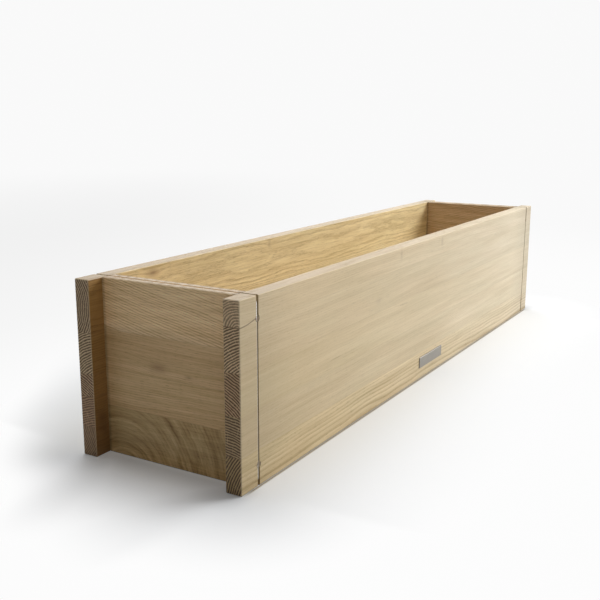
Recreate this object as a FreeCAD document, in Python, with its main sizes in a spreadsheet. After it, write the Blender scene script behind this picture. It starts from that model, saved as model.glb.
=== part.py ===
import FreeCAD, Part
import Sketcher
import os
import re

# Window box planter. Two long side boards overhang two inset end panels, all glued up from
# oak staves. Plugged screws hold the side boards to the panels, and a steel wire lies in a
# groove that runs round each end. A drained bottom panel is screwed down to two cleats.
#
# Millimetres. X is the length, -Y the front face with the label, +Z up. The origin is under
# the middle of the box, on the plane that it stands on.

SIZES = {
    "length": 1000,
    "width": 220,
    "height": 206,
    "board_thickness": 20,
    "panel_thickness": 20,
    "panel_inset": 22,
    "edge_chamfer": 0.8,
    # Stave widths as ripped, from the bottom up. They share out the height of the box.
    "front_rip_1": 41,
    "front_rip_2": 44,
    "front_rip_3": 46,
    "front_rip_4": 47,
    "front_rip_5": 28,
    "back_rip_1": 36,
    "back_rip_2": 36,
    "back_rip_3": 26,
    "back_rip_4": 48,
    "back_rip_5": 60,
    "panel_rip_1": 57,
    "panel_rip_2": 44,
    "panel_rip_3": 46,
    "panel_rip_4": 59,
    # Stave widths of the bottom, from the front to the back. They share out its width.
    "bottom_rip_1": 44,
    "bottom_rip_2": 45,
    "bottom_rip_3": 44,
    "bottom_rip_4": 44,
    # The wire round each end, its groove and the ferrule that closes it underneath.
    "wire_diameter": 2.4,
    "wire_cover": 0.7,
    "wire_bend": 8,
    "wire_clearance": 0.1,
    "wire_end_gap": 2,
    "groove_side_clearance": 0.2,
    "relief_widening": 0.7,
    "ferrule_wall": 0.5,
    "ferrule_length": 16,
    "ferrule_clearance": 0.5,
    # Screws through the side boards into the end panels, and the plugs over them.
    "panel_screw_margin": 24,
    "panel_screw_diameter": 5,
    "panel_screw_length": 48,
    "panel_screw_head": 7.6,
    "panel_screw_head_height": 3.5,
    "plug_diameter": 8,
    "plug_length": 5,
    "plug_clearance": 0.05,
    "plug_gap": 0.3,
    # The bottom panel, its drain holes and the cleats that carry it.
    "bottom_thickness": 15,
    "bottom_clearance": 1.5,
    "drain_diameter": 12,
    "drain_margin": 90,
    "drain_row_offset": 22,
    "cleat_lift": 12,
    "cleat_height": 20,
    "cleat_thickness": 20,
    "cleat_clearance": 2,
    # Countersunk screws of the cleats and the bottom.
    "small_screw_diameter": 4,
    "small_screw_head": 8,
    "small_screw_head_height": 2.4,
    "small_screw_length": 29,
    "small_screw_margin": 60,
    # What every screw has: room round its shank, its point and its hexagon socket.
    "screw_clearance": 0.1,
    "screw_point_length": 5,
    "screw_point_diameter": 0.4,
    "socket_size": 3,
    "socket_depth": 1.6,
    # The blank label plate on its two pins.
    "label_length": 84,
    "label_height": 16,
    "label_thickness": 1.5,
    "label_lift": 17,
    "label_corner": 1,
    "label_chamfer": 0.3,
    "pin_diameter": 2,
    "pin_length": 8,
    "pin_margin": 8,
    # How far a cutting shape runs past the face that it opens.
    "cut_margin": 2,
}

FRONT_RIPS = ["front_rip_%d" % number for number in range(1, 6)]
BACK_RIPS = ["back_rip_%d" % number for number in range(1, 6)]
PANEL_RIPS = ["panel_rip_%d" % number for number in range(1, 5)]
BOTTOM_RIPS = ["bottom_rip_%d" % number for number in range(1, 5)]
CLEAT_SCREWS = 5
BOTTOM_SCREWS = CLEAT_SCREWS - 1
DRAINS = 5

# Places that several pieces share, as expressions in the sizes. A name that ends in _X, _Y
# or _Z is a distance from the origin.
PANEL_OUTSIDE_X = "(length / 2 - panel_inset)"
PANEL_INSIDE_X = "(length / 2 - panel_inset - panel_thickness)"
GROOVE_X = "(length / 2 - panel_inset - panel_thickness / 2)"
BOARD_INSIDE_Y = "(width / 2 - board_thickness)"
CLEAT_INSIDE_Y = "(width / 2 - board_thickness - cleat_thickness)"
CLEAT_MIDDLE_Y = "(width / 2 - board_thickness - cleat_thickness / 2)"
BOTTOM_EDGE_Y = "(width / 2 - board_thickness - bottom_clearance)"
CLEAT_MIDDLE_Z = "(cleat_lift + cleat_height / 2)"
CLEAT_TOP_Z = "(cleat_lift + cleat_height)"
BOTTOM_TOP_Z = "(cleat_lift + cleat_height + bottom_thickness)"
WIRE_DEPTH = "(wire_cover + wire_diameter / 2)"
GROOVE_WIDTH = "(wire_diameter + 2 * groove_side_clearance)"
GROOVE_DEPTH = "(wire_cover + wire_diameter + wire_clearance)"
GROOVE_BEND = "(wire_bend - wire_diameter / 2 - wire_clearance)"
WIRE_CORNER = "(wire_cover + wire_diameter / 2 + wire_bend)"
FERRULE_BORE = "(wire_diameter / 2 + wire_clearance / 2)"
FERRULE_RADIUS = "(wire_diameter / 2 + wire_clearance / 2 + ferrule_wall)"
SCREW_SEAT_DEPTH = "(plug_length + plug_gap + panel_screw_head_height)"

X_AXIS = FreeCAD.Vector(1, 0, 0)
Y_AXIS = FreeCAD.Vector(0, 1, 0)
UPRIGHT = FreeCAD.Rotation()
FACING_FRONT = FreeCAD.Rotation(X_AXIS, 90)
FACING_BACK = FreeCAD.Rotation(X_AXIS, -90)
ON_X_AXIS = FreeCAD.Rotation(Y_AXIS, 90)

doc = FreeCAD.newDocument("window_box_planter")
sheet = doc.addObject("Spreadsheet::Sheet", "Sizes")
for row, (alias, value) in enumerate(SIZES.items(), start=1):
    sheet.set("A%d" % row, alias)
    sheet.set("B%d" % row, str(value))
    sheet.setAlias("B%d" % row, alias)
doc.recompute()

nodes = []


# Helpers ------------------------------------------------------------------------------------

def sized(expression):
    """The expression with the name of each size pointed at its cell in the sheet."""
    def cell(word):
        return "Sizes." + word.group() if word.group() in SIZES else word.group()
    return re.sub(r"[a-z][a-z_0-9]*", cell, expression)


def bind(item, **expressions):
    """Bind properties of the item to the sheet."""
    for name, expression in expressions.items():
        item.setExpression(name, sized(expression))


def place(item, x="0", y="0", z="0", turn=UPRIGHT):
    """Turn the item and bind its position to the sheet."""
    item.Placement = FreeCAD.Placement(FreeCAD.Vector(), turn)
    for axis, expression in (("x", x), ("y", y), ("z", z)):
        item.setExpression("Placement.Base." + axis, sized(expression))


def node(item, name):
    """Name a finished sub-part and list it for export."""
    item.Label = name
    nodes.append(item)


def extent(span):
    return "%s - (%s)" % (span[1], span[0])


def both_ways(distance):
    """The span from minus the distance to the distance."""
    return ("-%s" % distance, distance)


def box(name, x, y, z):
    """A block that fills three (low, high) spans."""
    item = doc.addObject("Part::Box", name)
    bind(item, Length=extent(x), Width=extent(y), Height=extent(z))
    place(item, x[0], y[0], z[0])
    return item


def cylinder(name, radius, span):
    """A round bar about Z."""
    item = doc.addObject("Part::Cylinder", name)
    bind(item, Radius=radius, Height=extent(span))
    place(item, z=span[0])
    return item


def cone(name, low_radius, high_radius, span):
    """A taper about Z."""
    item = doc.addObject("Part::Cone", name)
    bind(item, Radius1=low_radius, Radius2=high_radius, Height=extent(span))
    place(item, z=span[0])
    return item


def fuse(name, items):
    joined = doc.addObject("Part::MultiFuse", name)
    joined.Shapes = items
    return joined


def cut(name, base, tool):
    remainder = doc.addObject("Part::Cut", name)
    remainder.Base = base
    remainder.Tool = tool
    return remainder


def group(name, items):
    together = doc.addObject("Part::Compound", name)
    together.Links = items
    return together


def copy(name, item, x="0", y="0", z="0", turn=UPRIGHT):
    """A placed copy of an item that was built about its own origin."""
    placed = group(name, [item])
    place(placed, x, y, z, turn)
    return placed


def block(name, x, y, z):
    """A body padded from a rectangle on the ground to fill three (low, high) spans."""
    body = doc.addObject("PartDesign::Body", name)
    outline = body.newObject("Sketcher::SketchObject", name + "_outline")
    ground = next(item for item in body.Origin.OriginFeatures if item.Role == "XY_Plane")
    outline.AttachmentSupport = (ground, [""])
    outline.MapMode = "FlatFace"
    corners = [FreeCAD.Vector(*corner) for corner in ((0, 0), (1, 0), (1, 1), (0, 1))]
    for start, end in zip(corners, corners[1:] + corners[:1]):
        outline.addGeometry(Part.LineSegment(start, end))
    for side, direction in enumerate(("Horizontal", "Vertical") * 2):
        outline.addConstraint(Sketcher.Constraint("Coincident", side, 2, (side + 1) % 4, 1))
        outline.addConstraint(Sketcher.Constraint(direction, side))
    outline.addConstraint(Sketcher.Constraint("Coincident", 0, 1, -1, 1))
    for side, span in ((0, x), (1, y)):
        number = outline.addConstraint(Sketcher.Constraint("Distance", side, 1))
        outline.setExpression("Constraints[%d]" % number, sized(extent(span)))
    pad = body.newObject("PartDesign::Pad", name + "_pad")
    pad.Profile = outline
    bind(pad, Length=extent(z))
    place(body, x[0], y[0], z[0])
    doc.recompute()
    return body


def dress(body, kind, picked, **sizes):
    """Chamfer or fillet the edges or faces of the body's last feature that picked() takes."""
    base = body.Tip
    names = ["Edge%d" % number for number, edge in enumerate(base.Shape.Edges, start=1)
             if picked(edge)]
    feature = body.newObject("PartDesign::" + kind, "%s_%s" % (body.Name, kind.lower()))
    feature.Base = (base, names)
    bind(feature, **sizes)
    body.Tip = feature
    doc.recompute()


def every_edge(edge):
    return True


def runs_along(axis):
    """A test for the straight edges that run along X, Y or Z."""
    return lambda edge: abs(getattr(edge.tangentAt(edge.FirstParameter), axis)) > 0.99


def on_front_face(edge):
    """Whether the edge lies in the plane that the body's sketch starts from."""
    return edge.BoundBox.YMax < 1e-6


def staves(glued_up, prefix, rips, low, high, across="z"):
    """Part a finished board into its staves, each a node, in proportion to the rips."""
    past_both_ends = both_ways("length")
    total = " + ".join(rips)
    for number, rip in enumerate(rips):
        name = "%s_%d" % (prefix, number + 1)
        joints = [" + ".join(["0"] + rips[:count]) for count in (number, number + 1)]
        span = ["%s + (%s - (%s)) * (%s) / (%s)" % (low, high, low, joint, total)
                for joint in joints]
        if across == "z":
            slab = box(name + "_slab", past_both_ends, past_both_ends, span)
        else:
            slab = box(name + "_slab", past_both_ends, span, past_both_ends)
        stave = doc.addObject("Part::Common", name)
        stave.Base = glued_up
        stave.Tool = slab
        node(stave, name)


def spread(name, item, count, reach, y, z, turn):
    """A row of copies along X, evenly spaced from -reach to reach."""
    return [copy("%s_%d" % (name, number + 1), item,
                 "%s * %d / %d" % (reach, 2 * number - count + 1, count - 1), y, z, turn)
            for number in range(count)]


# Fasteners, each built about Z with its head up and its seat or its face at zero ------------

def socket(name, face):
    """The hexagon that a driver fits, sunk below the head's face."""
    prism = doc.addObject("Part::Prism", name)
    prism.Polygon = 6
    bind(prism, Circumradius="socket_size / sqrt(3)", Height="socket_depth + cut_margin")
    place(prism, z="%s - socket_depth" % face)
    return prism


def screw(name, diameter, length, head, face):
    """A screw with a plain shank and a point, under the head that is given."""
    shoulder = "-(%s - screw_point_length)" % length
    blank = fuse(name + "_blank", [
        head,
        cylinder(name + "_shank", diameter + " / 2", (shoulder, "0")),
        cone(name + "_point", "screw_point_diameter / 2", diameter + " / 2",
             ("-" + length, shoulder)),
    ])
    return cut(name, blank, socket(name + "_socket", face))


def panel_fastener():
    """The pan-head screw of the end panels, and the stepped hole for it and its plug."""
    head = cylinder("panel_screw_pan", "panel_screw_head / 2", ("0", "panel_screw_head_height"))
    hole = fuse("panel_screw_hole", [
        cylinder("panel_screw_bore", "plug_diameter / 2",
                 ("0", SCREW_SEAT_DEPTH + " + cut_margin")),
        cylinder("panel_screw_pilot", "panel_screw_diameter / 2 + screw_clearance",
                 ("-(panel_screw_length + screw_clearance)", "0")),
    ])
    return screw("panel_screw", "panel_screw_diameter", "panel_screw_length", head,
                 "panel_screw_head_height"), hole


def small_fastener():
    """The countersunk screw of the cleats and the bottom, and its hole."""
    head = cone("small_screw_cone", "small_screw_diameter / 2", "small_screw_head / 2",
                ("-small_screw_head_height", "0"))
    hole = fuse("small_screw_hole", [
        cylinder("small_screw_mouth", "small_screw_head / 2 + screw_clearance",
                 ("0", "cut_margin")),
        cone("small_screw_sink", "small_screw_diameter / 2 + screw_clearance",
             "small_screw_head / 2 + screw_clearance", ("-small_screw_head_height", "0")),
        cylinder("small_screw_pilot", "small_screw_diameter / 2 + screw_clearance",
                 ("-(small_screw_length + screw_clearance)", "0")),
    ])
    return screw("small_screw", "small_screw_diameter", "small_screw_length", head, "0"), hole


def at_panel_screws(name, item, depth):
    """Copies of an item at every panel screw, at a depth below the side boards' faces."""
    copies = []
    for end, x in (("left", "-" + GROOVE_X), ("right", GROOVE_X)):
        for level, z in (("low", "panel_screw_margin"), ("high", "height - panel_screw_margin")):
            for face, y, turn in (("front", "-(width / 2 - %s)" % depth, FACING_FRONT),
                                  ("back", "width / 2 - %s" % depth, FACING_BACK)):
                copies.append(copy("_".join((name, end, level, face)), item, x, y, z, turn))
    return group(name, copies)


def at_cleats(name, item):
    """Copies of an item along both cleats, facing the middle of the box."""
    reach = "(%s - small_screw_margin)" % PANEL_INSIDE_X
    return group(name, spread(name + "_front", item, CLEAT_SCREWS, reach,
                              "-" + CLEAT_INSIDE_Y, CLEAT_MIDDLE_Z, FACING_BACK)
                 + spread(name + "_back", item, CLEAT_SCREWS, reach,
                          CLEAT_INSIDE_Y, CLEAT_MIDDLE_Z, FACING_FRONT))


def at_bottom(name, item):
    """Copies of an item down through the bottom, halfway between the screws of the cleats."""
    reach = "((%s - small_screw_margin) * %d / %d)" % (
        PANEL_INSIDE_X, BOTTOM_SCREWS - 1, CLEAT_SCREWS - 1)
    return group(name, [item_copy for side, y in (("front", "-" + CLEAT_MIDDLE_Y),
                                                  ("back", CLEAT_MIDDLE_Y))
                        for item_copy in spread("%s_%s" % (name, side), item, BOTTOM_SCREWS,
                                                reach, y, BOTTOM_TOP_Z, UPRIGHT)])


def at_label_pins(name, item):
    """Copies of an item behind the label plate, on the face of the front board."""
    reach = "(label_length / 2 - pin_margin)"
    return group(name, spread(name, item, 2, reach, "-width / 2",
                              "label_lift + label_height / 2", FACING_FRONT))


# The wire and its groove, built in the plane X = 0 ------------------------------------------

def groove():
    """What the groove, its wider runs and the ferrule's pocket take out of one end."""
    core = block("groove_core", both_ways(GROOVE_WIDTH),
                 both_ways("(width / 2 - %s)" % GROOVE_DEPTH),
                 (GROOVE_DEPTH, "height - " + GROOVE_DEPTH))
    dress(core, "Fillet", runs_along("x"), Radius=GROOVE_BEND)
    ring = cut("groove_ring", box("groove_slice", both_ways("(%s / 2)" % GROOVE_WIDTH),
                                  both_ways("(width / 2 + cut_margin)"),
                                  ("-cut_margin", "height + cut_margin")), core)
    pieces = [ring, box("ferrule_pocket",
                        both_ways("(%s + ferrule_clearance)" % FERRULE_RADIUS),
                        both_ways("(ferrule_length / 2 + ferrule_clearance)"),
                        ("-cut_margin", " + ".join((WIRE_DEPTH, FERRULE_RADIUS, "ferrule_clearance"))))]
    bare = "(width / 2 - %s)" % GROOVE_DEPTH
    past = "(width / 2 + cut_margin)"
    for face, y in (("front", ("-" + past, "-" + bare)), ("back", (bare, past))):
        for level, z in (("low", ("-cut_margin", "panel_screw_margin")),
                         ("high", ("height - panel_screw_margin", "height + cut_margin"))):
            pieces.append(box("relief_%s_%s" % (face, level),
                              both_ways("(%s / 2 + relief_widening)" % GROOVE_WIDTH), y, z))
    return fuse("groove_tool", pieces)


def wire_loop():
    """The wire: five straight runs and four bends, with its ends meeting in the ferrule."""
    radius = "wire_diameter / 2"
    side_y = "(width / 2 - %s)" % WIRE_DEPTH
    bend_y = "(width / 2 - %s)" % WIRE_CORNER
    low_bend_z = WIRE_CORNER
    high_bend_z = "(height - %s)" % WIRE_CORNER
    end_y = "(wire_end_gap / 2)"
    pieces = []
    for name, y in (("front", "-" + side_y), ("back", side_y)):
        run = cylinder("wire_%s_run" % name, radius, (low_bend_z, high_bend_z))
        place(run, "0", y, low_bend_z)
        pieces.append(run)
    for name, z, span in (("top", "height - " + WIRE_DEPTH, both_ways(bend_y)),
                          ("under_front", WIRE_DEPTH, ("-" + bend_y, "-" + end_y)),
                          ("under_back", WIRE_DEPTH, (end_y, bend_y))):
        run = cylinder("wire_%s_run" % name, radius, span)
        place(run, "0", span[0], z, FACING_BACK)
        pieces.append(run)
    corners = ((bend_y, low_bend_z), (bend_y, high_bend_z),
               ("-" + bend_y, high_bend_z), ("-" + bend_y, low_bend_z))
    for quarter, (y, z) in enumerate(corners):
        bend = doc.addObject("Part::Torus", "wire_bend_%d" % (quarter + 1))
        bend.Angle3 = 90
        bind(bend, Radius1="wire_bend", Radius2=radius)
        place(bend, "0", y, z, FreeCAD.Rotation(X_AXIS, 90 * quarter) * ON_X_AXIS)
        pieces.append(bend)
    return fuse("wire_loop", pieces)


def ferrule():
    """The sleeve that closes the wire under the end panel."""
    span = both_ways("(ferrule_length / 2)")
    past_both_ends = both_ways("(ferrule_length / 2 + cut_margin)")
    sleeve = cut("ferrule", cylinder("ferrule_outside", FERRULE_RADIUS, span),
                 cylinder("ferrule_bore", FERRULE_BORE, past_both_ends))
    return copy("ferrule_lying", sleeve, z=WIRE_DEPTH, turn=FACING_BACK)


# Cutting shapes that every piece shares -----------------------------------------------------

panel_screw, panel_screw_hole = panel_fastener()
small_screw, small_screw_hole = small_fastener()
groove_tool = groove()
grooves = group("grooves", [copy("groove_left", groove_tool, "-" + GROOVE_X),
                            copy("groove_right", groove_tool, GROOVE_X)])
drain = cylinder("drain", "drain_diameter / 2",
                 ("%s - cut_margin" % CLEAT_TOP_Z, "%s + cut_margin" % BOTTOM_TOP_Z))
drain_reach = "(%s - drain_margin)" % PANEL_INSIDE_X
pin_hole = cylinder("pin_hole", "pin_diameter / 2 + screw_clearance",
                    ("-(pin_length + screw_clearance)", "cut_margin"))
openings = fuse("openings", [
    grooves,
    at_panel_screws("panel_screw_holes", panel_screw_hole, SCREW_SEAT_DEPTH),
    at_cleats("cleat_screw_holes", small_screw_hole),
    at_bottom("bottom_screw_holes", small_screw_hole),
    at_label_pins("pin_holes", pin_hole),
    group("drains", spread("drain_front", drain, DRAINS, drain_reach, "-drain_row_offset", "0",
                           UPRIGHT)
          + spread("drain_back", drain, DRAINS, drain_reach, "drain_row_offset", "0",
                   UPRIGHT)),
])

# Side boards --------------------------------------------------------------------------------

for side, y, rips in (("front", ("-width / 2", "-" + BOARD_INSIDE_Y), FRONT_RIPS),
                      ("back", (BOARD_INSIDE_Y, "width / 2"), BACK_RIPS)):
    blank = block(side + "_board_blank", both_ways("(length / 2)"), y, ("0", "height"))
    dress(blank, "Chamfer", every_edge, Size="edge_chamfer")
    staves(cut(side + "_board", blank, openings), side + "_stave", rips, "0", "height")

# End panels ---------------------------------------------------------------------------------

for end, x in (("left", ("-" + PANEL_OUTSIDE_X, "-" + PANEL_INSIDE_X)),
               ("right", (PANEL_INSIDE_X, PANEL_OUTSIDE_X))):
    blank = block(end + "_panel_blank", x, both_ways(BOARD_INSIDE_Y), ("0", "height"))
    dress(blank, "Chamfer", runs_along("y"), Size="edge_chamfer")
    staves(cut(end + "_panel", blank, openings), end + "_panel_stave", PANEL_RIPS, "0", "height")

# Bottom and its cleats ----------------------------------------------------------------------

blank = block("bottom_blank", both_ways("(%s - bottom_clearance)" % PANEL_INSIDE_X),
              both_ways(BOTTOM_EDGE_Y), (CLEAT_TOP_Z, BOTTOM_TOP_Z))
staves(cut("bottom", blank, openings), "bottom_stave", BOTTOM_RIPS,
       "-" + BOTTOM_EDGE_Y, BOTTOM_EDGE_Y, across="y")

for side, y in (("front", ("-" + BOARD_INSIDE_Y, "-" + CLEAT_INSIDE_Y)),
                ("back", (CLEAT_INSIDE_Y, BOARD_INSIDE_Y))):
    blank = block(side + "_cleat_blank", both_ways("(%s - cleat_clearance)" % PANEL_INSIDE_X), y,
                  ("cleat_lift", CLEAT_TOP_Z))
    dress(blank, "Chamfer", runs_along("x"), Size="edge_chamfer")
    node(cut(side + "_cleat_drilled", blank, openings), side + "_cleat")

# Fasteners and plugs ------------------------------------------------------------------------

node(at_panel_screws("panel_screws_placed", panel_screw, SCREW_SEAT_DEPTH), "panel_screws")
node(at_cleats("cleat_screws_placed", small_screw), "cleat_screws")
node(at_bottom("bottom_screws_placed", small_screw), "bottom_screws")
plug = cylinder("plug", "plug_diameter / 2 - plug_clearance", ("0", "plug_length"))
node(cut("grooved_plugs", at_panel_screws("plugs_placed", plug, "plug_length"), grooves),
     "screw_plugs")

# Wires and ferrules -------------------------------------------------------------------------

loop = wire_loop()
sleeve = ferrule()
for end, x in (("left", "-" + GROOVE_X), ("right", GROOVE_X)):
    node(copy(end + "_wire_placed", loop, x), end + "_wire")
    node(copy(end + "_ferrule_placed", sleeve, x), end + "_ferrule")

# Label --------------------------------------------------------------------------------------

plate = block("label_plate_body", both_ways("(label_length / 2)"),
              ("-(width / 2 + label_thickness)", "-width / 2"),
              ("label_lift", "label_lift + label_height"))
dress(plate, "Fillet", runs_along("y"), Radius="label_corner")
dress(plate, "Chamfer", on_front_face, Size="label_chamfer")
node(plate, "label_plate")
pin = cylinder("pin", "pin_diameter / 2", ("-pin_length", "0"))
node(at_label_pins("label_pins_placed", pin), "label_pins")

# Checks and export --------------------------------------------------------------------------

doc.recompute()
failed = [item.Name for item in doc.Objects
          if {"Invalid", "Error"} & set(item.State)]
for item in nodes:
    if item.Shape.isNull() or not item.Shape.isValid() or not item.Shape.Solids:
        failed.append(item.Label)
if failed:
    raise RuntimeError("failed: " + ", ".join(failed))

os.makedirs("parts", exist_ok=True)
for item in nodes:
    item.Shape.exportStep("parts/%s.step" % item.Label)
    print("%-22s %2d solids %12.1f mm3" % (item.Label, len(item.Shape.Solids), item.Shape.Volume))
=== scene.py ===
"""Visual model of the window box planter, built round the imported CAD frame.

Every visible shape is a CAD node. This script gives each node its material: oak whose growth
rings run through every stave from their own centre line, so that faces, edges and end grain
agree, and drawn, brushed and matte metals. It adds the floor, the light and the camera.
"""
import math
from types import SimpleNamespace

import bpy
from mathutils import Matrix, Vector


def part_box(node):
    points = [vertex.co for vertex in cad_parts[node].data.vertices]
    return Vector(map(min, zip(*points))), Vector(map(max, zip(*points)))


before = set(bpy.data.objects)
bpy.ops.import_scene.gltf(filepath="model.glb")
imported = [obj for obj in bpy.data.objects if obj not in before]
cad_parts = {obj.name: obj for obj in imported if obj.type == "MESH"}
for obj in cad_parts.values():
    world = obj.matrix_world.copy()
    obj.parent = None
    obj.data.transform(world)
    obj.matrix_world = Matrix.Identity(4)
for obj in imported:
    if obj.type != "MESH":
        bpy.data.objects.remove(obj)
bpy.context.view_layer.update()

MM = 0.001


def sides(node, axis):
    """The node's lowest and highest place on an axis, in mm."""
    low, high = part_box(node)
    i = "xyz".index(axis)
    return low[i] / MM, high[i] / MM


BOARD_END = sides("back_stave_5", "x")[1]               # mm: half the length of the side boards
INNER_FACE, OUTER_FACE = sides("back_stave_5", "y")     # mm: their faces
PANEL_OUTSIDE = sides("right_panel_stave_1", "x")[1]    # mm: the end panels' outer faces


# ---------------------------------------------------------------- node helpers

class Num:
    """A number or colour socket of a node tree. Arithmetic on it adds Math nodes."""

    def __init__(self, tree, socket):
        self.tree, self.socket = tree, socket

    def math(self, kind, *others):
        return math_node(self.tree, kind, self, *others)

    def __add__(self, other):
        return self.math("ADD", other)

    __radd__ = __add__

    def __sub__(self, other):
        return self.math("SUBTRACT", other)

    def __rsub__(self, other):
        return math_node(self.tree, "SUBTRACT", other, self)

    def __mul__(self, other):
        return self.math("MULTIPLY", other)

    __rmul__ = __mul__

    def __truediv__(self, other):
        return self.math("DIVIDE", other)

    def __pow__(self, other):
        return self.math("POWER", other)

    def __abs__(self):
        return self.math("ABSOLUTE")


def put(tree, socket, value):
    """Links value to the socket, or sets it there if it is a plain value."""
    if isinstance(value, Num):
        tree.links.new(value.socket, socket)
    else:
        socket.default_value = value


def math_node(tree, kind, *values):
    node = tree.nodes.new("ShaderNodeMath")
    node.operation = kind
    for socket, value in zip(node.inputs, values):
        put(tree, socket, value)
    return Num(tree, node.outputs[0])


def larger(first, second):
    return first.math("MAXIMUM", second)


def ramp(value, low, high, start=0.0, end=1.0):
    """start at low and below, end at high and above, and a smooth step between them."""
    node = value.tree.nodes.new("ShaderNodeMapRange")
    node.interpolation_type = "SMOOTHSTEP"
    for socket, number in zip(node.inputs, (value, low, high, start, end)):
        put(value.tree, socket, number)
    return Num(value.tree, node.outputs[0])


def fall(value, low, high):
    """1 at low and below, 0 at high and above, and a smooth step between them."""
    return ramp(value, low, high, 1.0, 0.0)


def vector(tree, x, y, z):
    node = tree.nodes.new("ShaderNodeCombineXYZ")
    for socket, number in zip(node.inputs, (x, y, z)):
        put(tree, socket, number)
    return Num(tree, node.outputs[0])


def grey(value):
    return vector(value.tree, value, value, value)


def split(tree, output):
    node = tree.nodes.new("ShaderNodeSeparateXYZ")
    tree.links.new(output, node.inputs[0])
    return [Num(tree, socket) for socket in node.outputs]


def noise(tree, x, y, z, detail=0.0, rough=0.5):
    """Noise from about -0.5 to 0.5 at a place in the noise's own cells."""
    node = tree.nodes.new("ShaderNodeTexNoise")
    node.inputs["Scale"].default_value = 1.0
    node.inputs["Detail"].default_value = detail
    node.inputs["Roughness"].default_value = rough
    put(tree, node.inputs["Vector"], vector(tree, x, y, z))
    return Num(tree, node.outputs[0]) - 0.5


def rgba(colour):
    return colour if isinstance(colour, Num) else (*colour, 1.0)


def mix(tree, share, first, second, blend="MIX"):
    """The first colour, with this share of the second laid over it."""
    node = tree.nodes.new("ShaderNodeMix")
    node.data_type = "RGBA"
    node.blend_type = blend
    put(tree, node.inputs["Factor"], share)
    put(tree, node.inputs[6], rgba(first))
    put(tree, node.inputs[7], rgba(second))
    return Num(tree, node.outputs[2])


def times(tree, colour, tint):
    """The colour with each channel multiplied by the tint's."""
    return mix(tree, 1.0, colour, tint, "MULTIPLY")


def bump(tree, shader, height, depth_mm, strength):
    node = tree.nodes.new("ShaderNodeBump")
    node.inputs["Strength"].default_value = strength
    node.inputs["Distance"].default_value = depth_mm * MM
    put(tree, node.inputs["Height"], height)
    tree.links.new(node.outputs[0], shader.inputs["Normal"])


def new_material(name):
    """A material, its tree and shader node, and on x, y, z the place in mm and the normal."""
    material = bpy.data.materials.new(name)
    material.use_nodes = True
    tree = material.node_tree
    shader = tree.nodes["Principled BSDF"]
    coords = tree.nodes.new("ShaderNodeTexCoord")
    place = [axis / MM for axis in split(tree, coords.outputs["Object"])]
    facing = split(tree, coords.outputs["Normal"])
    return material, tree, shader, place, facing


def give(node_name, material):
    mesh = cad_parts[node_name].data
    mesh.materials.clear()
    mesh.materials.append(material)


# ---------------------------------------------------------------- oak

FACE_LATE = (0.730, 0.585, 0.375)    # smooth summer wood, the lighter part of a ring
FACE_EARLY = (0.560, 0.420, 0.240)   # open spring wood
PORE = (0.300, 0.200, 0.105)
FLECK = (0.360, 0.250, 0.140)
RAY = (0.560, 0.455, 0.310)
PINKISH = (1.05, 0.98, 0.955)        # tints that the faces vary between
GREENISH = (0.955, 1.0, 0.985)
END_LATE = (0.450, 0.345, 0.225)     # the same woods in rough end grain
END_EARLY = (0.085, 0.058, 0.034)
END_PORE = (0.045, 0.030, 0.018)
PLANED_END = (0.62, 0.60, 0.58)      # tint of end grain that was planed
HALO = (0.330, 0.200, 0.120)         # round a knot
KNOT = (0.150, 0.080, 0.040)
SEAM = (0.200, 0.130, 0.075)
EDGE_WEAR_AND_HIGHLIGHT = (0.860, 0.720, 0.520)         # painted highlight on upper chamfers, with wear where hands rub
UNDERSIDE_SHADE = (0.130, 0.095, 0.060)        # painted shade on lower chamfers and along the foot
CORNER_LOW = (0.43, 0.28, 0.135)     # shade of the side boards' inner faces past the panels,
CORNER_HIGH = (0.52, 0.35, 0.175)    # near the ground and from CORNER_TOP up
CORNER_TOP = 80.0                    # mm
BOARD_RIM_LIGHT = (0.84, 0.815, 0.83), (1.03, 1.09, 1.22)      # painted light: tints at the near and at the far end
PANEL_RIM_LIGHT = (0.79, 0.755, 0.765), (0.77, 0.735, 0.74)

# What can be set for each stave, and what holds where nothing is set.
LOOK = dict(
    lean=(0.0, 0.0),       # the pith's drift on its two axes, per mm along the grain
    ring=3.4,              # mean width of a year's growth, in mm
    wave=1.0,              # how much the rings wander
    seed=0.0,              # which part of the noise shows
    knots=(),              # (along, up, length, height, strength), in mm
    figure=1.0,            # strength of the rings on the faces
    band=0.2,              # strength of bands of a few rings each
    streak=1.0,            # strength of streaks and clouds along the grain
    pore=1.0,              # strength of the vessels
    fibre=1.0,             # strength of the fibres
    fleck=1.0,             # strength of short dark flecks
    reach_out=1.0,         # length of the fibres
    slope=0.0,             # the streaks' drift up the stave, per mm along the grain
    tone=(1, 1, 1),        # tint of the faces
    far_tone=None,         # their tint at the end at +X, where it differs: painted light, partly the wood's tone
    rim=BOARD_RIM_LIGHT,         # painted light: tints of the upper and lower sides at the two ends
    fade=None,             # (low, high, start, end): painted shading, start up to low mm, end from high
    end_tone=(1, 1, 1),    # tint of the end grain
    end_figure=1.0,        # strength of the rings on the end grain
    edges=None,            # the stave's lower and upper joint, in mm
    seam_dark=0.22,        # how dark they are
    splits=(),             # (up, from, to, bend) of cracks along the grain, in mm
)


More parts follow.
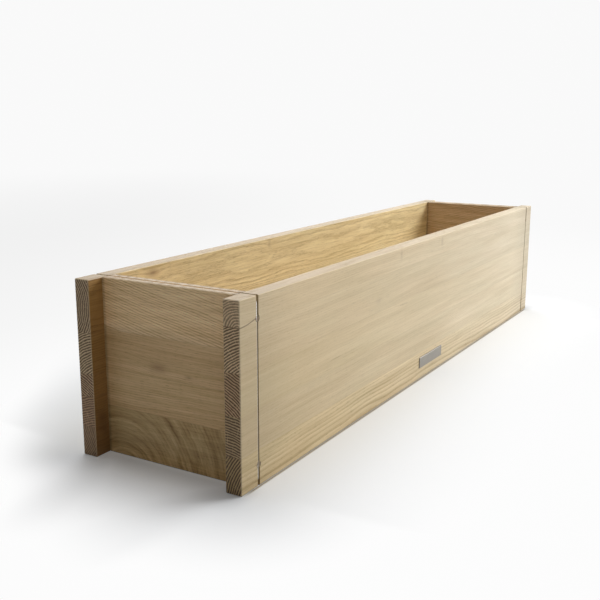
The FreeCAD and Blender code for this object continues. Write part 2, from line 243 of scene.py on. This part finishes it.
class Oak:
    """The oak of one stave.

    axes: which of x, y, z runs along the grain, up the stave and through its thickness. They
    are u, a and b here, in mm. pith: where the tree's centre line is on the last two. kind:
    "side" for what runs the length of the box, "panel" for what lies between the side boards,
    or "plain". LOOK explains the rest.
    """

    def __init__(self, name, axes, pith, kind="plain", **look):
        self.look = SimpleNamespace(**{**LOOK, **look})
        self.pith, self.kind = pith, kind
        self.material, self.tree, self.shader, place, facing = new_material(name)
        self.u, self.a, self.b = (place["xyz".index(axis)] for axis in axes)
        self.above_ground, self.facing_up = place[2], facing[2]
        along, upright, outward = (abs(facing["xyz".index(axis)]) for axis in axes)
        self.end_on = ramp(along, 0.55, 0.9)
        self.rim_on = ramp(upright, 0.75, 0.95)
        squarest = larger(larger(along, upright), outward)
        self.chamfer = fall(squarest, 0.75, 0.95) * (1.0 - self.end_on)
        self.grow_rings()
        self.grow_fibres()
        self.finish()

    def cells(self, along, up, through, detail=0.0, rough=0.5, seed_sign=1):
        """Noise in cells of these sizes, in mm, along the grain, up and through the stave."""
        along = self.u / along + self.look.seed * seed_sign
        return noise(self.tree, along, self.a / up, self.b / through, detail, rough)

    def knot_field(self, at, up, length, height):
        """1 at the middle of a knot, and less away from it."""
        far = ((self.u - at) / length) ** 2.0 + ((self.a - up) / height) ** 2.0
        return (far * -1.0).math("EXPONENT")

    def grow_rings(self):
        """Rings round the pith, which wanders along the grain. They swerve round knots.

        1.5, 7.5, 3.3 and 9.3 only pick different slices of the noise.
        """
        tree, look, u, a, b = self.tree, self.look, self.u, self.a, self.b
        seed, ring = look.seed, look.ring
        drift_a = noise(tree, u / 210, seed, 1.5, detail=1.0) * 16 * look.wave
        drift_b = noise(tree, u / 240, seed, 7.5, detail=1.0) * 12 * look.wave
        across = a - self.pith[0] - u * look.lean[0] - drift_a
        through = b - self.pith[1] - u * look.lean[1] - drift_b
        swerve_mm, longer, higher = 5.0, 2.2, 2.6
        for at, up, length, height, strength in look.knots:
            swerve = self.knot_field(at, up, length * longer, height * higher)
            across = across + swerve * strength * swerve_mm
        ripple = noise(tree, u / 46, a / 9 + seed, b / 9, detail=1.0) * 2.4 * look.wave
        reach = (across * across + through * through) ** 0.5 + ripple

        uneven = noise(tree, reach / (ring * 4.5), seed, 3.3, detail=1.0) * 0.9
        season = (reach / ring + uneven).math("FRACT")
        self.early = ramp(season, 0.0, 0.12) * fall(season, 0.16, 0.66)
        self.sawn_early = ramp(season, 0.0, 0.15) * fall(season, 0.42, 0.86)
        vigour = noise(tree, reach / (ring * 2.1), seed, 9.3, detail=1.0)
        self.vigour = ramp(vigour, -0.22, 0.25, 0.25, 1.3)
        self.bands = noise(tree, reach / (ring * 1.7), u / 220 + seed, a / 50,
                           detail=3.0, rough=0.65)

        # rays: thin sheets from the pith outwards
        angle = math_node(tree, "ARCTAN2", across, through)
        self.rays = ramp(noise(tree, u / 16 + seed, angle * 95, reach / 11), 0.16, 0.26)

    def grow_fibres(self):
        """What runs along the grain. The vessels are dense in the spring wood."""
        look, u, a, b = self.look, self.u, self.a, self.b
        vessels = self.cells(9, 0.42, 0.42, detail=1.0, rough=0.4)
        self.pores = ramp(vessels + self.early * 0.10, 0.13, 0.24)
        self.fibres = self.cells(30 * look.reach_out, 1.2, 1.2, detail=2.0)
        self.streaks = noise(self.tree, u / 170 + look.seed, (a + u * look.slope) / 8, b / 8,
                             detail=3.0, rough=0.6)
        self.clouds = self.cells(300, 40, 40, detail=1.0)
        groups = self.cells(180, 25, 25, detail=1.0, seed_sign=-1)
        flecks = self.cells(75, 2.6, 2.6, detail=2.0, seed_sign=-1)
        self.flecks = ramp(flecks, 0.17, 0.27) * ramp(groups, -0.05, 0.15)

    def face_grain(self):
        tree, look = self.tree, self.look
        shown = (self.clouds * 0.9 + 0.75) * self.vigour * look.figure
        face = mix(tree, self.early * shown, FACE_LATE, FACE_EARLY)
        face = mix(tree, self.pores * (0.5 * look.pore), face, PORE)
        face = mix(tree, self.flecks * (0.40 * look.fleck), face, FLECK)
        face = mix(tree, self.rays * 0.10, face, RAY)
        hue = mix(tree, ramp(self.cells(110, 26, 26, seed_sign=-1), -0.2, 0.2), PINKISH, GREENISH)
        face = mix(tree, 0.15, face, times(tree, face, hue))
        light = self.fibres * (0.62 * look.fibre) + self.streaks * (0.30 * look.streak)
        light = light + self.clouds * (0.14 * look.streak) + self.bands * look.band + 1.0
        # dark wood is redder than light wood
        return times(tree, face, vector(tree, light ** 0.82, light, light ** 1.38))

    def end_grain(self):
        tree, look = self.tree, self.look
        end = mix(tree, self.sawn_early * (0.97 * look.end_figure), END_LATE, END_EARLY)
        end = mix(tree, self.pores * 0.6, end, END_PORE)
        end = mix(tree, self.rays * 0.45, end, RAY)
        blotch = noise(tree, self.a / 4 + look.seed, self.b / 4, 2.0, detail=2.0, rough=0.6)
        return times(tree, times(tree, end, grey(blotch * 0.9 + 1.0)), look.end_tone)

    def add_knots(self, face):
        for at, up, length, height, strength in self.look.knots:
            halo = self.knot_field(at, up, length, height)
            ragged = halo + self.fibres * 0.8 + self.streaks * 0.4
            face = mix(self.tree, ramp(ragged, 0.1, 1.0) * 0.5 * strength, face, HALO)
            face = mix(self.tree, ramp(ragged, 0.85, 1.15) * 0.5 * strength, face, KNOT)
        return face

    def add_tone(self, face):
        """Tints faces and rims, which change from -X to +X: painted light, partly wood tone on
        the faces.
        """
        tree, look = self.tree, self.look
        tint = look.tone
        if look.far_tone:
            tint = mix(tree, ramp(self.u, -BOARD_END, BOARD_END), look.tone, look.far_tone)
        rim = mix(tree, ramp(self.u, -BOARD_END, BOARD_END), *look.rim)
        return times(tree, face, mix(tree, self.rim_on, tint, rim))

    def add_shade(self, face):
        """Painted shade: corners of boards and panels, the boards' ends; and a fade's painted
        light and shade.
        """
        tree, u, a, b = self.tree, self.u, self.a, self.b
        # painted light and shade up the stave
        if self.look.fade:
            face = times(tree, face, grey(ramp(a, *self.look.fade)))
        if self.kind == "panel":
            # painted shade on the panels' faces next to the side boards
            shade_beside_boards = ramp(abs(u), INNER_FACE - 5, INNER_FACE, 1.0, 0.62)
            face = times(tree, face, grey(shade_beside_boards))
        if self.kind == "side":
            # painted shade, darker towards both ends of the side boards
            shade_towards_end = ramp(abs(u), BOARD_END - 120, BOARD_END - 5, 1.0, 0.84)
            face = times(tree, face, grey(shade_towards_end))
            # painted shade on the boards' inner faces past the panels
            past_panel = ramp(abs(u), PANEL_OUTSIDE - 1.0, PANEL_OUTSIDE + 1.0)
            past_panel = past_panel * fall(abs(b), INNER_FACE, INNER_FACE + 1.5)
            past_panel = past_panel * ramp(u, -1.0, 1.0, 1.0, 0.3)
            shade = mix(tree, ramp(a, 10, CORNER_TOP), CORNER_LOW, CORNER_HIGH)
            face = mix(tree, past_panel, face, times(tree, face, shade))
        return face

    def add_edge_wear_light_and_shade(self, colour):
        """Painted shade along the foot and on the lower chamfers; a painted highlight, some wear,
        on upper ones.
        """
        tree, up = self.tree, self.facing_up
        if self.kind == "side":
            # painted contact shadow along the foot of the side boards
            foot = fall(self.above_ground, 0.3, 1.2) * (1.0 - self.end_on) * ramp(up, -0.5, -0.2)
            colour = mix(tree, foot * 0.35, colour, UNDERSIDE_SHADE)
        # painted highlight on the upward chamfers, the lower ones in painted shade
        colour = mix(tree, self.chamfer * ramp(up, -0.5, 0.1) * 0.4, colour, EDGE_WEAR_AND_HIGHLIGHT)
        return mix(tree, self.chamfer * fall(up, -0.5, -0.2) * 0.8, colour, UNDERSIDE_SHADE)

    def add_joints(self, colour):
        """The dark lines of the joints with the next staves, and cracks along the grain."""
        tree, look, u, a = self.tree, self.look, self.u, self.a
        if look.edges:
            lower, upper = (fall(abs(a - edge), 0.12, 0.55) for edge in look.edges)
            colour = mix(tree, larger(lower, upper) * look.seam_dark, colour, SEAM)
        tip = 6       # mm over which a crack closes at its ends
        for up, low, high, bend in look.splits:
            gone = larger((u - low) / (high - low), 0.0)
            gap = fall(abs(a - up - gone * gone * bend), 0.3, 1.0)
            gap = gap * ramp(u, low - tip, low) * fall(u, high, high + tip)
            colour = mix(tree, gap * 0.75, colour, SEAM)
        return colour

    def finish(self):
        """Puts the colour, roughness and relief on the shader."""
        tree, shader = self.tree, self.shader
        face = self.add_tone(self.add_knots(self.face_grain()))
        end = self.end_grain()
        if self.kind == "side":
            # only the boards' own ends are rough: inside, end grain was planed
            rough = ramp(abs(self.u), BOARD_END - 1.2, BOARD_END - 0.4)
            end = mix(tree, rough, times(tree, face, PLANED_END), end)
        colour = mix(tree, self.end_on, self.add_shade(face), end)
        put(tree, shader.inputs["Base Color"], self.add_joints(self.add_edge_wear_light_and_shade(colour)))
        roughness = self.early * 0.08 + self.pores * 0.12 + self.fibres * 0.25 + 0.54
        put(tree, shader.inputs["Roughness"], roughness + self.end_on * 0.2)
        shader.inputs["Specular IOR Level"].default_value = 0.45
        relief = self.fibres * 0.5 - self.pores * 0.9 - self.early * 0.3
        bump(tree, shader, relief, depth_mm=0.12, strength=0.6)


# Looks that staves share.
FRONT = dict(reach_out=2.0)
BACK_TOP = dict(ring=2.8, band=0.5, wave=0.9, streak=1.8, fibre=1.2, fleck=1.8, reach_out=1.8)
PANEL_MIDDLE = dict(rim=PANEL_RIM_LIGHT, ring=2.6, band=0.5, streak=2.3, reach_out=2.0)
FAR_PANEL_MIDDLE = dict(ring=2.6, figure=0.5, fibre=1.3)
HIDDEN = dict(ring=3.2, figure=0.8)
CLEAT = dict(ring=3.0, figure=0.8, tone=(0.93, 0.9, 0.8))
CRACK = (178, -500, -474, 3.8)      # in the front board's near end, up to the plug

STAVES = {
    "front_stave_5": dict(
        FRONT, pith=(175, -106), ring=2.8, seed=1.3, figure=0.22, band=0.30, pore=0.35,
        fibre=0.30, streak=1.3, fleck=1.3, slope=0.010, seam_dark=0.10,
        tone=(1.04, 1.02, 0.97), far_tone=(0.99, 1.05, 1.18), end_tone=(1.75, 1.66, 1.55),
        end_figure=0.72, knots=[(33, 196, 5, 9, 0.4), (-115, 197, 5, 9, 0.35)], splits=[CRACK]),
    "front_stave_4": dict(
        FRONT, pith=(94, -135), ring=2.8, seed=2.9, figure=0.12, band=0.26, pore=0.3,
        fibre=0.27, streak=1.1, fleck=1.6, slope=-0.012, seam_dark=0.06,
        tone=(1.0, 0.98, 0.925), far_tone=(0.975, 1.04, 1.16), end_tone=(1.75, 1.65, 1.5),
        knots=[(-185, 146, 12, 4, 0.30)], splits=[CRACK]),
    "front_stave_3": dict(
        FRONT, pith=(43, -62), ring=2.9, seed=4.1, figure=0.10, band=0.24, pore=0.3,
        fibre=0.25, streak=1.1, fleck=1.7, seam_dark=0.05,
        tone=(0.985, 0.97, 0.90), far_tone=(1.01, 1.07, 1.18), end_tone=(1.3, 1.13, 0.98)),
    "front_stave_2": dict(
        FRONT, pith=(-26, -85), ring=2.9, seed=5.7, figure=0.12, band=0.28, pore=0.35,
        fibre=0.32, streak=1.3, fleck=1.4, slope=0.008, seam_dark=0.07,
        tone=(0.94, 0.92, 0.86), far_tone=(1.01, 1.07, 1.17), end_tone=(1.12, 1.03, 0.88)),
    "front_stave_1": dict(
        pith=(-14, -172), ring=2.8, seed=7.2, figure=0.9, band=0.45, pore=0.7, fibre=0.6,
        streak=1.4, wave=0.6, reach_out=2.5, seam_dark=0.12, tone=(1.02, 0.995, 0.88),
        far_tone=(1.03, 1.08, 1.17), end_tone=(1.05, 0.95, 0.74), end_figure=1.02),
    "back_stave_5": dict(
        BACK_TOP, pith=(178, 145), seed=8.4, figure=1.0, tone=(1.12, 1.13, 0.975),
        far_tone=(1.20, 1.22, 1.05), end_tone=(1.35, 1.28, 1.2),
        knots=[(-392, 197, 14, 7, 1.0), (-135, 198, 5, 8, 0.5)]),
    "back_stave_4": dict(
        BACK_TOP, pith=(61, 65), seed=9.1, figure=1.1, tone=(1.10, 1.11, 0.965),
        far_tone=(1.18, 1.20, 1.04), end_tone=(1.55, 1.5, 1.38)),
    "back_stave_3": dict(
        pith=(20, 137), ring=2.8, seed=10.6, figure=0.6, tone=(1.05, 1.03, 0.9),
        end_tone=(1.3, 1.15, 1.05)),
    "back_stave_2": dict(
        pith=(-60, 60), ring=2.6, seed=11.8, figure=0.6, tone=(1.0, 0.98, 0.88),
        end_tone=(1.12, 0.93, 0.84), end_figure=0.75, knots=[(-488, 44, 9, 12, 0.8)]),
    "back_stave_1": dict(
        pith=(60, 170), ring=2.6, seed=12.5, figure=0.6, tone=(0.98, 0.96, 0.87),
        end_tone=(0.90, 0.77, 0.68), end_figure=0.65, knots=[(-486, 30, 8, 10, 0.5)]),
    "left_panel_stave_4": dict(
        rim=PANEL_RIM_LIGHT, pith=(60, -470), lean=(0.21, 0.0), ring=3.0, seed=13.4, figure=2.1,
        band=0.7, fibre=1.3, streak=1.5, reach_out=2.5, slope=0.16, tone=(1.33, 1.19, 1.02),
        fade=(147, 163, 0.83, 1.0)),
    "left_panel_stave_3": dict(
        PANEL_MIDDLE, pith=(20, -500), lean=(0.02, 0.0), seed=14.9, figure=0.4,
        tone=(0.875, 0.735, 0.555), knots=[(14, 113, 15, 7, 0.85), (-28, 108, 7, 3, 0.5)]),
    "left_panel_stave_2": dict(
        PANEL_MIDDLE, pith=(-20, -440), lean=(-0.03, 0.0), seed=16.3, figure=0.45,
        tone=(0.905, 0.77, 0.585)),
    "left_panel_stave_1": dict(
        rim=PANEL_RIM_LIGHT, pith=(-34, -562), lean=(0.0, 1.2), ring=5.0, seed=17.7, figure=0.35,
        band=2.3, fibre=1.2, streak=1.8, wave=2.0, reach_out=1.6, tone=(0.655, 0.55, 0.365),
        fade=(2, 24, 1.36, 1.0)),
    "right_panel_stave_4": dict(
        pith=(60, 470), lean=(0.12, 0.0), ring=3.3, seed=23.4, figure=1.3, fibre=1.3,
        streak=2.0, band=0.4, tone=(0.86, 0.76, 0.68)),
    "right_panel_stave_3": dict(
        FAR_PANEL_MIDDLE, pith=(20, 500), lean=(0.02, 0.0), seed=24.9, tone=(0.80, 0.72, 0.66)),
    "right_panel_stave_2": dict(
        FAR_PANEL_MIDDLE, pith=(-20, 440), lean=(-0.03, 0.0), seed=26.3,
        tone=(0.82, 0.74, 0.67)),
    "right_panel_stave_1": dict(
        pith=(20, 520), lean=(0.10, 0.0), ring=3.4, seed=27.7, figure=0.8, fibre=1.3,
        tone=(0.78, 0.71, 0.62)),
    "bottom_stave_1": dict(HIDDEN, pith=(-120, -20), seed=31.3, tone=(0.95, 0.9, 0.78)),
    "bottom_stave_2": dict(HIDDEN, pith=(-20, 120), seed=32.6, tone=(0.97, 0.93, 0.82)),
    "bottom_stave_3": dict(HIDDEN, pith=(60, -40), seed=33.2, tone=(0.93, 0.88, 0.76)),
    "bottom_stave_4": dict(HIDDEN, pith=(40, 90), seed=34.8, tone=(0.96, 0.91, 0.79)),
    "front_cleat": dict(CLEAT, pith=(-30, -60), seed=35.5),
    "back_cleat": dict(CLEAT, pith=(60, 130), seed=36.1),
}

for stave, look in STAVES.items():
    if "panel" in stave:
        kind, axes = "panel", "yzx"
    elif "bottom" in stave:
        kind, axes = "plain", "xyz"
    else:
        kind, axes = "side", "xzy"
    edges = None if "cleat" in stave else sides(stave, axes[1])
    give(stave, Oak(stave, axes, kind=kind, edges=edges, **look).material)

# The plugs: cut across the grain, so their faces show end grain.
give("screw_plugs", Oak("oak_plug", "yxz", pith=(-300, 40), ring=2.6, seed=40.4,
                        tone=(1.25, 1.2, 1.1)).material)


# ---------------------------------------------------------------- metals

def metal(name, colour, roughness, grain, depth, lay=None):
    """A bare metal with fine marks and broader stains.

    grain: sizes in mm of the cells that the marks follow on x, y and z. depth: of the marks,
    in mm. lay: on a wire, the length in mm along which one of its strands follows the next.
    """
    material, tree, shader, (x, y, z), facing = new_material(name)
    marks = noise(tree, x / grain[0], y / grain[1], z / grain[2], detail=2.0, rough=0.6)
    stain_size = 11       # mm
    stains = noise(tree, x / stain_size, y / stain_size, z / stain_size, detail=2.0)
    tint = times(tree, colour, grey(marks * 0.30 + stains * 0.25 + 1.0))
    height = marks
    if lay:
        # strands twisted round the wire, which runs up the faces and across the edges
        on_face = ramp(abs(facing[1]) - abs(facing[2]), -0.05, 0.05)
        run = z * on_face + y * (1.0 - on_face)
        turn = facing[0].math("ARCSINE") / math.pi
        strand = ((run / lay + turn * 2.0) * math.tau).math("SINE")
        height = height * 0.2 + strand
        # painted shade in the hollows between the strands
        tint = times(tree, tint, grey(ramp(strand, -1.0, 0.2, 0.45, 1.0)))
    put(tree, shader.inputs["Base Color"], tint)
    put(tree, shader.inputs["Roughness"], marks * 0.25 + stains * 0.15 + roughness)
    shader.inputs["Metallic"].default_value = 1.0
    bump(tree, shader, height, depth, strength=0.7)
    return material


METALS = {
    "wire_steel": (("left_wire", "right_wire"),
                   dict(colour=(0.72, 0.69, 0.64), roughness=0.45, grain=(0.5, 6, 6),
                        depth=0.12, lay=1.6)),
    "ferrule_metal": (("left_ferrule", "right_ferrule"),
                      dict(colour=(0.62, 0.62, 0.61), roughness=0.42, grain=(3, 0.6, 3),
                           depth=0.03)),
    "screw_steel": (("panel_screws", "cleat_screws", "bottom_screws"),
                    dict(colour=(0.58, 0.57, 0.55), roughness=0.32, grain=(2, 2, 2),
                         depth=0.02)),
    "label_steel": (("label_plate", "label_pins"),
                    dict(colour=(0.325, 0.305, 0.277), roughness=0.34, grain=(14, 0.5, 0.22),
                         depth=0.012)),
}

for metal_name, (nodes, look) in METALS.items():
    material = metal(metal_name, **look)
    for node in nodes:
        give(node, material)


# ---------------------------------------------------------------- floor and light

# The box's plan, in metres.
END = BOARD_END * MM
PANEL = PANEL_OUTSIDE * MM
SIDE = OUTER_FACE * MM
BOARD_MIDDLE = (INNER_FACE + OUTER_FACE) / 2 * MM
BOARD_HALF = (OUTER_FACE - INNER_FACE) / 2 * MM

FLOOR_REACH = 14.0               # m, from the middle to its edges
FLOOR_COLOUR = (0.835, 0.855, 0.875)
CONTACT_SHADOW = (0.36, 0.29, 0.19)     # painted contact shadow right beside the long boards
LIFT = 0.10                      # what the floor near the box shines by itself
BACKDROP = 0.95                  # the plain white that the floor turns into, as it is seen
FILL = 0.12                      # and as it lights the box
FADE = 0.21                      # m from the box: where the floor has turned into plain white
SHADOW_WAY = (-0.744, 0.668)     # on x and y: where the key light's shadow falls
LEFT_WAY = (-0.51, 0.86)         # and where the left of the photo is
LAMPS = (                        # name, place, what it points at, size in metres, watts
    ("key", (1.9, -1.7, 1.4), (0.15, 0.0, 0.1), (1.4, 1.2), 54.0),
    ("overhead", (0.2, 0.1, 1.9), (0.0, 0.0, 0.1), (2.0, 1.4), 23.0),
    ("rim", (1.3, 1.2, 1.3), (0.1, 0.0, 0.1), (1.2, 1.0), 9.0),
)


def seen_directly(tree):
    """1 for rays from the camera, also by way of gloss or glass, and 0 for those that light."""
    path = tree.nodes.new("ShaderNodeLightPath")
    seen = Num(tree, path.outputs["Is Camera Ray"])
    seen = larger(seen, Num(tree, path.outputs["Is Glossy Ray"]))
    return larger(seen, Num(tree, path.outputs["Is Transmission Ray"]))


def outside(beyond_x, beyond_y):
    """The distance from a rectangle, from how far a place is past its edges on x and on y."""
    beyond_x, beyond_y = larger(beyond_x, 0.0), larger(beyond_y, 0.0)
    return (beyond_x * beyond_x + beyond_y * beyond_y) ** 0.5


def distance_from_box(x, y):
    boards = outside(abs(x) - END, abs(abs(y) - BOARD_MIDDLE) - BOARD_HALF)
    body = outside(abs(x) - PANEL, abs(y) - SIDE)
    return boards.math("MINIMUM", body)


def floor_shade(tree, x, y, away, past_end):
    """Painted shadow on the floor: in a line beside the long boards, and in front of the panels.
    """
    beside = ramp(abs(y), SIDE - 0.001, SIDE + 0.001) * fall(abs(x), PANEL, END + 0.002)
    shade = mix(tree, beside * fall(away, 0.0008, 0.0042), (1.0, 1.0, 1.0), CONTACT_SHADOW)
    # painted shadow on the floor in front of the panels
    panel_shadow = past_end * ramp(away, 0.0, 0.045, 0.26, 0.0)
    panel_shadow = panel_shadow * ramp(y, -SIDE - 0.02, -SIDE + 0.01)
    panel_shadow = panel_shadow * fall(y, SIDE - 0.06, SIDE - 0.01)
    return mix(tree, panel_shadow, shade, (0.0, 0.0, 0.0))


def floor_fade(x, y, away, past_end):
    """How far a place has turned into plain white. The shadow reaches out unevenly."""
    facing_panel = fall(x, -PANEL - 0.012, -PANEL + 0.003)
    facing_panel = facing_panel * ramp(y, -SIDE, -SIDE + 0.04) * fall(y, SIDE - 0.08, SIDE - 0.01)
    past_corner = fall(x, -END - 0.09, -END + 0.08) * ramp(y, SIDE - 0.06, SIDE + 0.02)
    leeward = (x + (END + 0.005)) * SHADOW_WAY[0] + (y - (SIDE + 0.005)) * SHADOW_WAY[1]
    behind = ramp(x, -END - 0.07, -END + 0.10) * ramp(y, SIDE - 0.01, SIDE + 0.04)
    behind = behind * fall(leeward, -0.02, 0.10)
    start = facing_panel * 0.02 + behind * 0.06
    end = past_end * -0.05 + facing_panel * 0.04 + past_corner * -0.06 + behind * 0.15 + FADE
    return ramp(away, start, end)


def white_strength(x, y, away):
    """The white's strength: a little more round the box and a little less far left, painted light
    and shade.
    """
    leftwards = x * LEFT_WAY[0] + y * LEFT_WAY[1]
    dip = ramp(leftwards, -0.3, 1.0) * ramp(away, 0.1, 0.6) * fall(away, 1.2, 4.5)
    return dip * -0.07 + ramp(away, 0.2, 1.5, BACKDROP + 0.03, BACKDROP)


def backdrop_material():
    """A pale floor that keeps shadows near the object, plus painted ones, and fades into the
    white backdrop.
    """
    material = bpy.data.materials.new("backdrop")
    material.use_nodes = True
    tree = material.node_tree
    tree.nodes.clear()
    coords = tree.nodes.new("ShaderNodeTexCoord")
    x, y, _ = split(tree, coords.outputs["Object"])
    away = distance_from_box(x, y)
    past_end = ramp(abs(x), PANEL - 0.008, PANEL + 0.012)
    shade = floor_shade(tree, x, y, away, past_end)
    seen = seen_directly(tree)

    diffuse = tree.nodes.new("ShaderNodeBsdfDiffuse")
    put(tree, diffuse.inputs["Color"], times(tree, FLOOR_COLOUR, shade))
    lift = tree.nodes.new("ShaderNodeEmission")
    put(tree, lift.inputs["Color"], shade)
    put(tree, lift.inputs["Strength"], seen * LIFT)
    ground = tree.nodes.new("ShaderNodeAddShader")
    tree.links.new(diffuse.outputs[0], ground.inputs[0])
    tree.links.new(lift.outputs[0], ground.inputs[1])

    white = tree.nodes.new("ShaderNodeEmission")
    put(tree, white.inputs["Strength"], white_strength(x, y, away))
    blend = tree.nodes.new("ShaderNodeMixShader")
    put(tree, blend.inputs[0], floor_fade(x, y, away, past_end) * seen)
    tree.links.new(ground.outputs[0], blend.inputs[1])
    tree.links.new(white.outputs[0], blend.inputs[2])
    output = tree.nodes.new("ShaderNodeOutputMaterial")
    tree.links.new(blend.outputs[0], output.inputs[0])
    return material


def make_floor():
    mesh = bpy.data.meshes.new("floor")
    plan = (-1, -1), (1, -1), (1, 1), (-1, 1)
    corners = [(x * FLOOR_REACH, y * FLOOR_REACH, 0) for x, y in plan]
    mesh.from_pydata(corners, [], [(0, 1, 2, 3)])
    mesh.materials.append(backdrop_material())
    floor = bpy.data.objects.new("floor", mesh)
    bpy.context.scene.collection.objects.link(floor)


def make_world():
    world = bpy.data.worlds.new("studio")
    bpy.context.scene.world = world
    world.use_nodes = True
    tree = world.node_tree
    tree.nodes.clear()
    background = tree.nodes.new("ShaderNodeBackground")
    background.inputs["Color"].default_value = (1.0, 1.0, 1.0, 1.0)
    put(tree, background.inputs["Strength"], seen_directly(tree) * (BACKDROP - FILL) + FILL)
    output = tree.nodes.new("ShaderNodeOutputWorld")
    tree.links.new(background.outputs[0], output.inputs[0])


def soft_light(name, place, target, size, watts):
    data = bpy.data.lights.new(name, "AREA")
    data.shape = "RECTANGLE"
    data.size, data.size_y = size
    data.energy = watts
    lamp = bpy.data.objects.new(name, data)
    lamp.location = place
    lamp.rotation_euler = (Vector(target) - Vector(place)).to_track_quat("-Z", "Y").to_euler()
    bpy.context.scene.collection.objects.link(lamp)


make_floor()
make_world()
for lamp in LAMPS:
    soft_light(*lamp)


# ---------------------------------------------------------------- camera

# Fitted to the edges of the box in the photograph. Lengths of the camera in mm, its place in m.
SENSOR = 36.0
LENS = 51.135
CAMERA_PLACE = (-1.16413, -0.57388, 0.38630)
CAMERA_RIGHT = Vector((0.5114857, -0.85928961, 0.00193315))
CAMERA_UP = Vector((0.1851863, 0.11242704, 0.97625109))
CAMERA_AHEAD = Vector((0.83909976, 0.49898048, -0.21663349))


def make_camera():
    data = bpy.data.cameras.new("camera")
    data.sensor_fit = "HORIZONTAL"
    data.sensor_width = SENSOR
    data.lens = LENS
    camera = bpy.data.objects.new("camera", data)
    turn = Matrix((CAMERA_RIGHT, CAMERA_UP, -CAMERA_AHEAD)).transposed().to_4x4()
    camera.matrix_world = Matrix.Translation(CAMERA_PLACE) @ turn
    bpy.context.scene.collection.objects.link(camera)
    bpy.context.scene.camera = camera


make_camera()
bpy.context.scene.view_settings.view_transform = "Standard"
